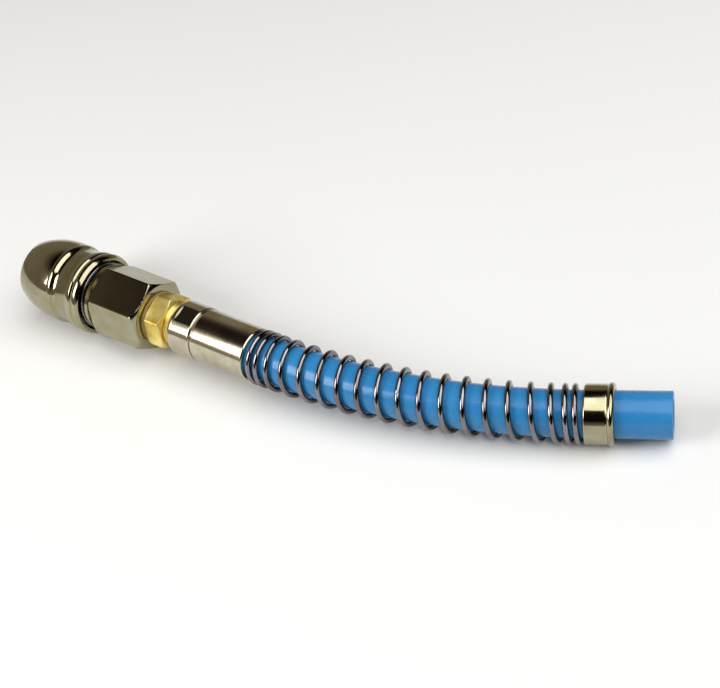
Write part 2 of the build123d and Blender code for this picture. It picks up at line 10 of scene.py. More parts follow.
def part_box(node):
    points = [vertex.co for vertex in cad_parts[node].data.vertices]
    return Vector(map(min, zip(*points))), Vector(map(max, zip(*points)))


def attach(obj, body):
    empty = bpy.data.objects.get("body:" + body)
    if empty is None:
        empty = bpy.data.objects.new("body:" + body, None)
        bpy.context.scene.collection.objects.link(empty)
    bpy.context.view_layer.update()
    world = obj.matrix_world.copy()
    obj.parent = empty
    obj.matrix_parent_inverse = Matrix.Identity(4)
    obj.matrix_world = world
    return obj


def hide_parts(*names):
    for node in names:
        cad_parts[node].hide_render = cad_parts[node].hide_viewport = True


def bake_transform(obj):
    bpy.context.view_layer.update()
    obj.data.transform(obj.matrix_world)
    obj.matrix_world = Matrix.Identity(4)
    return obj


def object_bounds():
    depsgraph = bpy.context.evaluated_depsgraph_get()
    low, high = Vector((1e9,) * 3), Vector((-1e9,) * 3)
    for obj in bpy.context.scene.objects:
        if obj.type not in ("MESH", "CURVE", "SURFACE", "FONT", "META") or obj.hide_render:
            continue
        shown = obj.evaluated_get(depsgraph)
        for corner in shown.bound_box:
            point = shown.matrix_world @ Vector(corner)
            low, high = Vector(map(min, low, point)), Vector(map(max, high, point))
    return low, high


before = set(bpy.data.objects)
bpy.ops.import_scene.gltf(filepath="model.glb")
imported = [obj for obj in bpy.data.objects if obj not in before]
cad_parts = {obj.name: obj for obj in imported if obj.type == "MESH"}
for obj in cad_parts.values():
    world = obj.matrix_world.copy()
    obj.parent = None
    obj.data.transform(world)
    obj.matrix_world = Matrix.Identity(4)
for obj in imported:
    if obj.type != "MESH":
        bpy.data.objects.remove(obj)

bl_info = {
    "name": "Air Coupler",
    "version": (1, 0, 0),
    "blender": (4, 5, 0),
    "location": "View3D > Sidebar > Coupler",
    "description": "Builds the finished pieces of a push-to-connect air coupler with a spring guard",
    "category": "Object",
}

MM = 0.001

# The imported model's box, taken before any piece is made
cad_box = [[float(v) for v in corner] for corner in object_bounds()]

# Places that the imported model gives, in metres
sleeve_low, sleeve_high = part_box("release_sleeve")
hex_low, hex_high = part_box("hex_body")
stem_low, stem_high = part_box("hose_stem")
nut_low, nut_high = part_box("hose_nut")
ring_low, ring_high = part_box("guard_end_ring")
ball_low, ball_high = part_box("lock_ball_1")
washer_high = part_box("thread_washer")[1]
hose_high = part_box("hose")[1]
snap_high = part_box("snap_ring")[1]

# The hose's bent line: straight to the nut's rear face, an arc in the XY plane, then straight
nut_rear = nut_high.x
GUARD_LENGTH = 92 * MM
GUARD_BEND = math.radians(26)
bend_radius = GUARD_LENGTH / GUARD_BEND

# The hose starts on the barb inside the nut, and its tail stands out of the end ring
hose_r = hose_high.z
HOSE_BORE_R = 4.0 * MM
HOSE_START = 63.05 * MM
RING_LENGTH = 7.5 * MM
HOSE_TAIL = 14.0 * MM
hose_end = nut_rear + GUARD_LENGTH + RING_LENGTH + HOSE_TAIL

# Room between the hose and the guard or the ring round it
HOSE_GAP = 0.15 * MM

# Where the first corner of both hexes lies, from +Y towards +Z
HEX_TURN = math.radians(27)


def linear(text):
    """Linear RGBA of an sRGB hex colour."""
    parts = [int(text[i : i + 2], 16) / 255 for i in (1, 3, 5)]
    return [p / 12.92 if p <= 0.04045 else ((p + 0.055) / 1.055) ** 2.4 for p in parts] + [1.0]


def length(name, description, millimetres):
    """Property for a size in metres, given in millimetres."""
    default = millimetres * MM
    return FloatProperty(name=name, description=description, default=default, min=0, unit="LENGTH", precision=5)


def degrees(name, description, value):
    """Property for an angle, given in degrees."""
    return FloatProperty(name=name, description=description, default=math.radians(value), subtype="ANGLE")


def colour(name, description, text):
    """Property for a colour, given as sRGB hex."""
    kind = {"size": 4, "min": 0, "max": 1, "subtype": "COLOR"}
    return FloatVectorProperty(name=name, description=description, default=linear(text), **kind)


class CouplerSizes(bpy.types.PropertyGroup):
    """Sizes of the turned, milled and wound pieces."""

    ridge_x: length("Ridge", "From the sleeve's front face to its ridge", 14.1)
    ridge_width: length("Ridge width", "Width of the ridge's rear slope", 0.8)
    groove_width: length("Grip groove width", "Length of the sleeve's grip groove", 6.0)
    groove_depth: length("Grip groove depth", "Depth of the sleeve's grip groove", 0.8)
    rim_width: length("Rim width", "Length of the sleeve's rear rim", 3.0)
    rim_stand: length("Rim stand", "How far the rim stands out of the barrel", 0.2)
    sleeve_wall: length("Sleeve wall", "Wall round the return spring", 1.55)
    hex_rounding: length("Hex rounding", "Softness of the hexes' edges after barrel plating", 0.07)
    thread_pitch: length("Thread pitch", "Pitch of the stem's rear thread", 1.0)
    thread_depth: length("Thread depth", "Depth of the stem's rear thread", 0.45)
    nut_band: length("Nut band", "Length of the nut's front band", 8.2)
    nut_line: length("Nut line", "Width of the turned line behind the band", 0.5)
    wire: length("Guard wire", "Radius of the guard's wire", 0.75)
    end_pitch: length("Closed pitch", "Coil pitch at the guard's ends", 1.9)
    open_pitch: length("Open pitch", "Coil pitch along the guard's middle", 5.6)
    ramp: length("Pitch ramp", "Length over which the pitch opens out", 14.0)
    mark_spacing: length("Turning marks", "Spacing of the lathe's turning marks", 0.32)


class CouplerColours(bpy.types.PropertyGroup):
    """Colours of the finishes."""

    nickel: colour("Nickel", "Bright nickel plate", "#A09C83")
    nickel_shade: colour("Nickel shade", "Thinner, warmer plating", "#8F8868")
    satin: colour("Satin nickel", "Nickel plate on the hose nut", "#BBB4A3")
    satin_shade: colour("Satin nickel shade", "Warmer patches of the nut's plate", "#A2987C")
    wire: colour("Guard wire", "Chrome plated wire", "#86848A")
    wire_shade: colour("Wire shade", "Yellowed patches of the wire", "#6E645E")
    steel: colour("Steel", "Hardened bearing steel", "#C8C9CC")
    brass: colour("Brass", "Clean machined brass", "#F0E08C")
    brass_shade: colour("Brass shade", "Brass that has begun to darken", "#C8A848")
    hose: colour("Hose", "Sky blue polyurethane", "#2D7BB0")
    hose_deep: colour("Hose depth", "Deeper blue inside the polyurethane", "#1C6299")
    rubber: colour("Rubber", "Black nitrile rubber", "#1B1B1D")
    fibre: colour("Fibre", "Tan pressed fibre", "#8C7440")
    floor: colour("Floor", "Pale studio floor", "#E2E2E0")


class CouplerStage(bpy.types.PropertyGroup):
    """Camera and lights."""

    distance: FloatProperty(
        name="Distance", description="From the camera to the coupler", default=0.42, unit="LENGTH"
    )
    azimuth: degrees("Azimuth", "Camera turned from -Y towards +X", 45.7)
    elevation: degrees("Elevation", "Camera above the coupler", 40.2)
    roll: degrees("Roll", "Camera turned about its own axis", 12.7)
    fill: FloatProperty(
        name="Fill",
        description="Share of the picture's width that the coupler takes",
        default=1.0,
        subtype="FACTOR",
    )
    key: FloatProperty(name="Key light", description="Power of the overhead softbox", default=15, unit="POWER")
    front: FloatProperty(
        name="Front light",
        description="Power of the low softbox that the turned pieces mirror",
        default=6,
        unit="POWER",
    )


# ---------------------------------------------------------------- shapes

ROUND_SIDES, HEX_SIDES = 180, 360
SHARP_FROM = math.radians(32)  # Faces that meet at less than this shade as one
FILLET_SHARE = 0.45  # Most of a side that the fillet at either end of it may take
FACING = 0.4  # Least cosine between an angle and the flat that is cut there


def straight(point):
    """Leave a point where it is."""
    return point


def along_hose(point):
    """Carry a point made round the straight X axis onto the hose's bent line."""
    past = point.x - nut_rear
    if past <= 0:
        return point
    heading = min(past / bend_radius, GUARD_BEND)
    rest = past - heading * bend_radius
    centre = Vector((nut_rear + bend_radius * math.sin(heading), bend_radius * (1 - math.cos(heading)), 0))
    ahead = Vector((math.cos(heading), math.sin(heading), 0))
    aside = Vector((-math.sin(heading), math.cos(heading), 0))
    return centre + ahead * rest + aside * point.y + Vector((0, 0, point.z))


def at_distance(share):
    """Point on the hose's line at a share of the guard's length."""
    return along_hose(Vector((nut_rear + share * GUARD_LENGTH, 0, 0)))


def soft_min(a, b, softness):
    """The smaller of two lengths, rounded where they meet."""
    low, high = min(a, b), max(a, b)
    return low - softness * math.log1p(math.exp((low - high) / softness))


def arc(start, middle, end, count):
    """Outline points of the circle through three (x, radius) points, both ends included."""
    a, m, b = (Vector(p) for p in (start, middle, end))
    turn = 2 * ((m.x - a.x) * (b.y - a.y) - (m.y - a.y) * (b.x - a.x))
    am, ab = (m - a).length_squared, (b - a).length_squared
    across = Vector(((b.y - a.y) * am - (m.y - a.y) * ab, (m.x - a.x) * ab - (b.x - a.x) * am))
    centre = a + across / turn
    first = math.atan2(a.y - centre.y, a.x - centre.x)
    sweep = (math.atan2(b.y - centre.y, b.x - centre.x) - first) % math.tau
    half = (math.atan2(m.y - centre.y, m.x - centre.x) - first) % math.tau
    if half > sweep:
        sweep -= math.tau
    radius = (a - centre).length
    angles = [first + sweep * i / count for i in range(count + 1)]
    return [(centre.x + radius * math.cos(t), centre.y + radius * math.sin(t), 0) for t in angles]


def corner_points(corners, index, count):
    """(x, radius, wear) points of one (x, radius, fillet) corner, with the most wear at its middle."""
    x, r, fillet = corners[index]
    here = Vector((x, r))
    before = Vector(corners[index - 1][:2]) - here
    after = Vector(corners[(index + 1) % len(corners)][:2]) - here
    cut = min(fillet, FILLET_SHARE * before.length, FILLET_SHARE * after.length)
    if cut <= 0:
        return [(x, r, 0.0)]
    start, end = here + before.normalized() * cut, here + after.normalized() * cut
    points = []
    for k in range(count + 1):
        t = k / count
        p = start * (1 - t) ** 2 + here * 2 * t * (1 - t) + end * t**2
        points.append((p.x, p.y, 4 * t * (1 - t)))
    return points


def rounded(corners, step):
    """Closed outline of (x, radius, fillet) corners, with its points at most a step apart."""
    points = []
    for index in range(len(corners)):
        points += corner_points(corners, index, count=6)
    fine = []
    for a, b in zip(points, points[1:] + points[:1]):
        pieces = max(1, math.ceil(math.hypot(b[0] - a[0], b[1] - a[1]) / step))
        for k in range(pieces):
            t = k / pieces
            fine.append(tuple(u + (v - u) * t for u, v in zip(a, b)))
    return fine


def rounded_open(corners):
    """Points of an open run of (x, radius, fillet) corners. A fillet at either end only marks it as worn."""
    points = []
    for index, (x, r, fillet) in enumerate(corners):
        if fillet <= 0 or index in (0, len(corners) - 1):
            points.append((x, r, 1.0 if fillet > 0 else 0.0))
        else:
            points += corner_points(corners, index, count=4)
    return points


def mesh_piece(name, points, faces, wear=None):
    """New smooth-shaded mesh object, with its normals facing out and its worn edges marked."""
    mesh = bpy.data.meshes.new(name)
    mesh.from_pydata(points, [], faces)
    mesh.validate()
    if wear is not None:
        layer = mesh.attributes.new("edge_wear", "FLOAT", "POINT")
        layer.data.foreach_set("value", wear)
    piece = bpy.data.objects.new(name, mesh)
    bpy.context.scene.collection.objects.link(piece)
    mesh.shade_smooth()
    mesh.set_sharp_from_angle(angle=SHARP_FROM)
    weights = piece.modifiers.new("Flat faces stay flat", "WEIGHTED_NORMAL")
    weights.keep_sharp = True
    return piece


def turned(name, outline, sides=ROUND_SIDES, place=straight, shape=None):
    """Piece turned about X from a closed (x, radius, wear) outline; shape cuts flats, threads and hexes."""
    area = sum(a[0] * b[1] - b[0] * a[1] for a, b in zip(outline, outline[1:] + outline[:1]))
    if area > 0:
        outline = outline[::-1]
    points, wear = [], []
    for j in range(sides):
        angle = math.tau * j / sides
        for x, r, worn in outline:
            radius = shape(x, angle, r) if shape else r
            points.append(place(Vector((x, radius * math.cos(angle), radius * math.sin(angle)))))
            wear.append(worn)
    n = len(outline)
    faces = []
    for j in range(sides):
        k = (j + 1) % sides
        for i in range(n):
            m = (i + 1) % n
            faces.append((j * n + i, j * n + m, k * n + m, k * n + i))
    return mesh_piece(name, points, faces, wear)


def tube(name, path, radius, sides=18):
    """Round wire along a list of points, closed and rounded off at both ends."""
    tip_r, tip_length = 0.6, 0.6  # As shares of the wire's radius
    points, faces = [], []
    side = None
    for i, here in enumerate(path):
        ahead = (path[min(i + 1, len(path) - 1)] - path[max(i - 1, 0)]).normalized()
        if side is None:
            side = ahead.orthogonal()
        side = (side - ahead * side.dot(ahead)).normalized()
        other = ahead.cross(side)
        inset = min((here - path[0]).length, (here - path[-1]).length) / radius
        here_r = radius * (tip_r + (1 - tip_r) * math.sqrt(min(1.0, inset / tip_length)))
        for k in range(sides):
            turn = math.tau * k / sides
            points.append(here + (side * math.cos(turn) + other * math.sin(turn)) * here_r)
    for i in range(len(path) - 1):
        for k in range(sides):
            m = (k + 1) % sides
            faces.append((i * sides + k, i * sides + m, (i + 1) * sides + m, (i + 1) * sides + k))
    faces.append(tuple(reversed(range(sides))))
    last = (len(path) - 1) * sides
    faces.append(tuple(range(last, last + sides)))
    return mesh_piece(name, points, faces)


def helix(start, end, mean_r, turns, per_turn=32):
    """Points of a straight helix about X."""
    count = round(turns * per_turn)
    points = []
    for i in range(count + 1):
        angle = math.tau * i / per_turn
        x = start + (end - start) * i / count
        points.append(Vector((x, mean_r * math.cos(angle), mean_r * math.sin(angle))))
    return points


def hex_radius(angle, across, softness):
    """Distance from the axis to a hexagon's side at an angle from +Y towards +Z."""
    found = None
    for k in range(6):
        share = math.cos(angle - HEX_TURN - math.radians(30 + 60 * k))
        if share > FACING:
            side = across / 2 / share
            found = side if found is None else soft_min(found, side, softness)
    return found


def cut_to_hex(r, angle, across, rounding):
    """Radius that is left at an angle when a round bar is milled to a hexagon with soft corners."""
    return soft_min(r, hex_radius(angle, across, rounding), rounding / 3)


# ---------------------------------------------------------------- finishes

# Kinds of node that most finishes use
NOISE, RAMP, MIX = "ShaderNodeTexNoise", "ShaderNodeValToRGB", "ShaderNodeMix"
MAPPING, MATH, BUMP = "ShaderNodeMapping", "ShaderNodeMath", "ShaderNodeBump"


def add(tree, kind, inputs=None, stops=(), **settings):
    """Add one shader node with its settings and its (position, colour) stops, and link or set its inputs."""
    made = tree.nodes.new(kind)
    for name, value in settings.items():
        setattr(made, name, value)
    for index, (position, value) in enumerate(stops):
        elements = made.color_ramp.elements
        element = elements[index] if index < 2 else elements.new(position)
        element.position, element.color = position, value
    for name, value in (inputs or {}).items():
        socket = made.inputs[name]
        if isinstance(value, bpy.types.NodeSocket):
            tree.links.new(value, socket)
        else:
            socket.default_value = value
    return made


def new_finish(name):
    """Empty node material, with its shader and its object coordinates."""
    material = bpy.data.materials.new(name)
    material.use_nodes = True
    tree = material.node_tree
    tree.nodes.clear()
    shader = add(tree, "ShaderNodeBsdfPrincipled")
    add(tree, "ShaderNodeOutputMaterial", {"Surface": shader.outputs["BSDF"]})
    coords = add(tree, "ShaderNodeTexCoord").outputs["Object"]
    return material, tree, shader, coords


def grey(value):
    """Opaque grey."""
    return (value, value, value, 1)


def scaled(tone, share):
    """A linear colour, darkened or brightened."""
    return [min(1.0, c * share) for c in tone[:3]] + [1.0]


def machined_metal(name, clean, shade, roughness, turn=0.0, marks=1.0, mottle_size=6 * MM):
    """Turned metal with lathe marks, uneven plating, wiping scratches and brighter worn edges."""
    sizes = bpy.context.scene.coupler_sizes
    material, tree, shader, coords = new_finish(name)
    lathe = add(tree, MAPPING, {"Vector": coords, "Rotation": (0, 0, -turn)}).outputs["Vector"]

    # Lathe marks run round the axis: fine along X, and about 19 mm long across it. Real ones are
    # about 0.1 mm apart, and they are drawn coarser so that they show
    fine, long = 1 / sizes.mark_spacing, 1 / (19 * MM)
    squash = add(tree, MAPPING, {"Vector": lathe, "Scale": (fine, long, long)}).outputs["Vector"]
    cut_marks = {"Vector": squash, "Scale": 1.0, "Detail": 3.0, "Roughness": 0.6}
    lines = add(tree, NOISE, cut_marks).outputs["Fac"]

    # Plating thickness changes slowly over the surface
    mottle = add(tree, NOISE, {"Vector": coords, "Scale": 1 / mottle_size, "Detail": 4.0}).outputs["Fac"]
    patches = add(tree, RAMP, {"Fac": mottle}, [(0.38, grey(0)), (0.68, grey(1))]).outputs["Color"]

    # Wiping scratches lie at a slant to the axis and are about 6 mm long. Real ones are some 0.02 mm
    # wide, and they are drawn ten times as wide so that they show
    long, thin = 1 / (6 * MM), 1 / (0.2 * MM)
    wiped = {"Vector": coords, "Rotation": (0.4, 0.7, 0.9), "Scale": (long, thin, thin)}
    drawn = add(tree, MAPPING, wiped).outputs["Vector"]
    scratch = add(tree, NOISE, {"Vector": drawn, "Scale": 1.0, "Detail": 1.0}).outputs["Fac"]
    scratches = add(tree, RAMP, {"Fac": scratch}, [(0.66, grey(0)), (0.72, grey(1))]).outputs["Color"]

    # Rubbed edges are a little brighter than the faces
    worn = add(tree, "ShaderNodeAttribute", attribute_name="edge_wear").outputs["Fac"]
    plate = {"Factor": patches, "A": list(clean), "B": list(shade)}
    tone = add(tree, MIX, plate, data_type="RGBA").outputs["Result"]
    rubbed = {"Factor": worn, "A": tone, "B": scaled(clean, 1.18)}
    edge = add(tree, MIX, rubbed, data_type="RGBA").outputs["Result"]
    tree.links.new(edge, shader.inputs["Base Color"])

    # Patches, lathe marks and scratches each add to the polish's own roughness
    rough = roughness
    for pattern, share in ((patches, 0.04), (lines, 0.06 * marks), (scratches, 0.04)):
        rough = add(tree, MATH, {0: pattern, 1: share, 2: rough}, operation="MULTIPLY_ADD").outputs[0]
    tree.links.new(rough, shader.inputs["Roughness"])

    cut = {"Height": lines, "Strength": 0.12 * marks, "Distance": 0.02 * MM}
    cut_normal = add(tree, BUMP, cut).outputs["Normal"]
    dents = {"Height": mottle, "Strength": 0.03, "Distance": 0.05 * MM, "Normal": cut_normal}
    tree.links.new(add(tree, BUMP, dents).outputs["Normal"], shader.inputs["Normal"])
    shader.inputs["Metallic"].default_value = 1.0
    return material


def bright_nickel(turn=0.0):
    """Bright nickel plate over turned steel: a warm mirror with faint rings from the lathe."""
    colours = bpy.context.scene.coupler_colours
    name = "bright_nickel_plate" if turn == 0 else "bright_nickel_plate_ring"
    return machined_metal(name, colours.nickel, colours.nickel_shade, 0.06, turn)


def satin_nickel():
    """Nickel plate over a plain turned tube: softer reflections than the sleeve's."""
    colours = bpy.context.scene.coupler_colours
    return machined_metal("satin_nickel_plate", colours.satin, colours.satin_shade, 0.10, marks=1.4)


def plated_wire():
    """Drawn spring wire with bright plating: small hard highlights, and a brown tint in places."""
    colours = bpy.context.scene.coupler_colours
    look = {"marks": 0.4, "mottle_size": 9 * MM}
    return machined_metal("plated_spring_wire", colours.wire, colours.wire_shade, 0.05, **look)


def machined_brass():
    """Free-cutting brass, turned and milled: yellow gold, darker where hands have not rubbed it."""
    colours = bpy.context.scene.coupler_colours
    look = {"marks": 0.7, "mottle_size": 4 * MM}
    return machined_metal("machined_brass", colours.brass, colours.brass_shade, 0.37, **look)


def bearing_steel():
    """Hardened, ground steel of the balls, washers and rings: cool, clean and very smooth."""
    steel = bpy.context.scene.coupler_colours.steel
    look = {"marks": 0.3, "mottle_size": 3 * MM}
    return machined_metal("ground_bearing_steel", steel, scaled(steel, 0.8), 0.08, **look)


def spring_steel_painted_dark():
    """Bare drawn spring wire inside the coupler, darkened to a dark grey as painted shade for the gap between the
    sleeve and the hex.
    """
    steel = bpy.context.scene.coupler_colours.steel
    look = {"marks": 0.8, "mottle_size": 2 * MM}
    # Painted shade: the steel is darkened to 0.4 and 0.25 of its colour so that the gap round the coil reads dark
    return machined_metal("spring_steel_painted_dark", scaled(steel, 0.4), scaled(steel, 0.25), 0.22, **look)


def blue_polyurethane():
    """Extruded polyurethane hose: glossy, slightly cloudy blue with faint draw lines along its length."""
    colours = bpy.context.scene.coupler_colours
    material, tree, shader, coords = new_finish("blue_polyurethane")
    cloud = add(tree, NOISE, {"Vector": coords, "Scale": 1 / (14 * MM), "Detail": 3.0}).outputs["Fac"]
    depth = add(tree, RAMP, {"Fac": cloud}, [(0.35, grey(0)), (0.8, grey(0.45))]).outputs["Color"]
    clouded = {"Factor": depth, "A": list(colours.hose), "B": list(colours.hose_deep)}
    tone = add(tree, MIX, clouded, data_type="RGBA").outputs["Result"]
    tree.links.new(tone, shader.inputs["Base Color"])

    # Draw lines of the die are about 0.5 mm apart round the hose and some 40 mm long
    long, thin = 1 / (40 * MM), 1 / (0.5 * MM)
    lengthways = add(tree, MAPPING, {"Vector": coords, "Scale": (long, thin, thin)}).outputs["Vector"]
    drawn = add(tree, NOISE, {"Vector": lengthways, "Scale": 1.0, "Detail": 2.0}).outputs["Fac"]
    bump = add(tree, BUMP, {"Height": drawn, "Strength": 0.18, "Distance": 0.03 * MM}).outputs["Normal"]
    tree.links.new(bump, shader.inputs["Normal"])

    # Scuffs are about 6 mm long and 0.7 mm wide, and lie across the draw lines
    long, thin = 1 / (6 * MM), 1 / (0.7 * MM)
    scuffed = {"Vector": coords, "Rotation": (0.3, 0.2, 0.5), "Scale": (long, thin, thin)}
    scuff_at = add(tree, MAPPING, scuffed).outputs["Vector"]
    scuffs = add(tree, NOISE, {"Vector": scuff_at, "Scale": 1.0, "Detail": 4.0}).outputs["Fac"]
    rubbed = add(tree, RAMP, {"Fac": scuffs}, [(0.58, grey(0)), (0.7, grey(1))]).outputs["Color"]
    rough = add(tree, MATH, {0: rubbed, 1: 0.12, 2: 0.22}, operation="MULTIPLY_ADD").outputs[0]
    tree.links.new(rough, shader.inputs["Roughness"])
    shader.inputs["IOR"].default_value = 1.5
    shader.inputs["Specular IOR Level"].default_value = 0.3
    shader.inputs["Subsurface Weight"].default_value = 0.15
    shader.inputs["Subsurface Radius"].default_value = (0.3, 0.6, 1.0)
    shader.inputs["Subsurface Scale"].default_value = 1.5 * MM
    return material


def nitrile_rubber():
    """Moulded black nitrile: dull, with a fine grain and a dusty bloom."""
    rubber = list(bpy.context.scene.coupler_colours.rubber)
    material, tree, shader, coords = new_finish("moulded_nitrile")
    grain = add(tree, NOISE, {"Vector": coords, "Scale": 1 / (0.25 * MM), "Detail": 2.0}).outputs["Fac"]
    bloom = add(tree, NOISE, {"Vector": coords, "Scale": 1 / (3 * MM), "Detail": 3.0}).outputs["Fac"]
    dusty = [c + 0.02 for c in rubber[:3]] + [1.0]
    tone = add(tree, RAMP, {"Fac": bloom}, [(0.35, rubber), (0.75, dusty)]).outputs["Color"]
    tree.links.new(tone, shader.inputs["Base Color"])
    rough = add(tree, MATH, {0: bloom, 1: 0.25, 2: 0.42}, operation="MULTIPLY_ADD").outputs[0]
    tree.links.new(rough, shader.inputs["Roughness"])
    bump = add(tree, BUMP, {"Height": grain, "Strength": 0.3, "Distance": 0.02 * MM}).outputs["Normal"]
    tree.links.new(bump, shader.inputs["Normal"])
    shader.inputs["IOR"].default_value = 1.52
    return material


def pressed_fibre():
    """Pressed fibre washer: matt grey-brown with short matted strands."""
    fibre = list(bpy.context.scene.coupler_colours.fibre)
    material, tree, shader, coords = new_finish("pressed_fibre")
    matted = {"Vector": coords, "Scale": 1 / (0.4 * MM)}
    strands = add(tree, "ShaderNodeTexVoronoi", matted, feature="F2").outputs["Distance"]
    tone = add(tree, RAMP, {"Fac": strands}, [(0.2, scaled(fibre, 0.6)), (0.8, fibre)]).outputs["Color"]
    tree.links.new(tone, shader.inputs["Base Color"])
    bump = add(tree, BUMP, {"Height": strands, "Strength": 0.5, "Distance": 0.03 * MM}).outputs["Normal"]
    tree.links.new(bump, shader.inputs["Normal"])
    shader.inputs["Roughness"].default_value = 0.85
    return material


def painted_floor():
    """Matt painted studio board: pale, with the faintest unevenness."""
    pale = list(bpy.context.scene.coupler_colours.floor)
    material, tree, shader, coords = new_finish("pale_studio_board")
    soft = add(tree, NOISE, {"Vector": coords, "Scale": 1 / (330 * MM), "Detail": 2.0}).outputs["Fac"]
    tone = add(tree, RAMP, {"Fac": soft}, [(0.3, scaled(pale, 0.97)), (0.7, pale)]).outputs["Color"]
    tree.links.new(tone, shader.inputs["Base Color"])
    shader.inputs["Roughness"].default_value = 0.6
    return material


def finish(piece, material):
    """Give a piece its material."""
    piece.data.materials.append(material)


# ---------------------------------------------------------------- pieces


def make_sleeve():
    """Release sleeve: domed nose, ridge, grip groove, barrel, rim, and the cone that frees the balls."""
    sizes = bpy.context.scene.coupler_sizes
    front, rear = sleeve_low.x, sleeve_high.x
    barrel_r = sleeve_high.z - sizes.rim_stand
    snap_gap, lip_width, line_depth = 0.2 * MM, 0.8 * MM, 0.35 * MM
    mouth_r = snap_high.y + snap_gap
    ridge_x = front + sizes.ridge_x
    groove_x = ridge_x + sizes.ridge_width
    groove_end = groove_x + sizes.groove_width
    rim_x = rear - sizes.rim_width

    # (x, radius) of the points that the outside runs through, from the lip to the rim
    lip = (front, mouth_r + lip_width)
    dome = (front + 4.6 * MM, barrel_r - 0.78 * MM)
    crest_front = (ridge_x - 0.5 * MM, barrel_r - 0.03 * MM)
    crest = (ridge_x, barrel_r)
    crest_rear = (groove_x, barrel_r - 0.3 * MM)
    groove_wall = (groove_x + 0.5 * MM, barrel_r - 0.66 * MM, 0)
    groove_bottom = (groove_x + 1.4 * MM, barrel_r - sizes.groove_depth)
    groove_rise = (groove_x + 3.8 * MM, barrel_r - 0.53 * MM)
    groove_rear = (groove_end, barrel_r - 0.15 * MM)
    line_bottom = (rim_x, barrel_r - line_depth)
    rim_top = (rim_x + sizes.rim_width / 2, sleeve_high.z)
    rim_end = (rear, barrel_r - 0.6 * MM)
    barrel = [
        (groove_end + 0.4 * MM, barrel_r, 0.2 * MM),
        (rim_x - line_depth, barrel_r, 0.15 * MM),
        (*line_bottom, 0),
    ]
    outline = arc(lip, dome, crest_front, count=40)[:-1]
    outline += arc(crest_front, crest, crest_rear, count=12) + [groove_wall]
    outline += arc(groove_bottom, groove_rise, groove_rear, count=20) + rounded_open(barrel)
    outline += arc(line_bottom, rim_top, rim_end, count=20)

    # The cone inside holds the balls in at rest, and lets them rise when the sleeve is drawn back
    ball_x, ball_r = (ball_low.x + ball_high.x) / 2, (ball_high.x - ball_low.x) / 2
    ball_centre_r = ball_high.z - ball_r
    travel, ball_rise, ball_gap, cone_lead = 2.4 * MM, 0.9 * MM, 0.03 * MM, 0.3 * MM
    slope = ball_rise / travel
    land_r = 7.54 * MM
    cone_r = ball_centre_r + ball_r * math.hypot(1, slope) + ball_gap
    cone_front = ball_x - travel - ball_r - cone_lead
    cone_front_r = cone_r + slope * (ball_x - cone_front)
    cone_rear = ball_x + (cone_r - land_r) / slope
    stop_x = snap_high.x + 0.05 * MM
    shoulder = front + 14.4 * MM
    chamber_r = barrel_r - sizes.sleeve_wall
    chamfer, edge = 0.3 * MM, 0.1 * MM
    inside = [
        (rear, chamber_r + chamfer, edge),
        (rear - chamfer, chamber_r, edge),
        (shoulder, chamber_r, 0),
        (shoulder, land_r, 0),
        (cone_rear, land_r, 0),
        (cone_front, cone_front_r, 0),
        (cone_front, land_r, 0),
        (stop_x, land_r, edge),
        (stop_x, mouth_r, 0),
        (front, mouth_r, edge),
    ]
    outline += rounded_open(inside)
    piece = turned("sleeve_shell", outline, sides=240)
    finish(piece, bright_nickel())
    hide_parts("release_sleeve")
    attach(piece, "sleeve")


def hex_outline(low, high, across, drop):
    """Outside of a hex from end to end, with its corners turned off over a drop's length at each end."""
    bulge, swell, inset, steps = 0.55, 0.03 * MM, 0.15 * MM, 30
    face_r, corner_r = across / 2 - inset, across / math.sqrt(3)
    curve, curve_r = drop * (1 - bulge), (face_r + corner_r) / 2 + swell
    front = arc((low, face_r), (low + curve, curve_r), (low + drop, corner_r), count=18)
    rear = arc((high - drop, corner_r), (high - curve, curve_r), (high, face_r), count=18)
    flat = high - low - 2 * drop
    return front + [(low + drop + flat * i / steps, corner_r, 0) for i in range(1, steps)] + rear


def make_hex_body():
    """Plated hex body with turned-off corners and edges softened by barrel plating."""
    sizes = bpy.context.scene.coupler_sizes
    across, drop = 19.0 * MM, 1.2 * MM
    low, high = hex_low.x, hex_high.x
    thread_r, rear_r = 8.05 * MM, 6.25 * MM
    front_chamfer, rear_chamfer = 0.3 * MM, 0.4 * MM
    step_x = high - 8.0 * MM
    bore_reach = rear_r + 2.1 * MM
    outline = hex_outline(low, high, across, drop)
    outline += [
        (high, rear_r + rear_chamfer, 0.5),
        (high - rear_chamfer, rear_r, 0),
        (step_x, rear_r, 0),
        (step_x, thread_r, 0),
        (low + front_chamfer, thread_r, 0),
        (low, thread_r + front_chamfer, 0.5),
    ]

    def shape(x, angle, r):
        return r if r < bore_reach else cut_to_hex(r, angle, across, sizes.hex_rounding)

    piece = turned("hex_shell", outline, HEX_SIDES, shape=shape)
    finish(piece, bright_nickel())
    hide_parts("hex_body")
    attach(piece, "coupler_body")


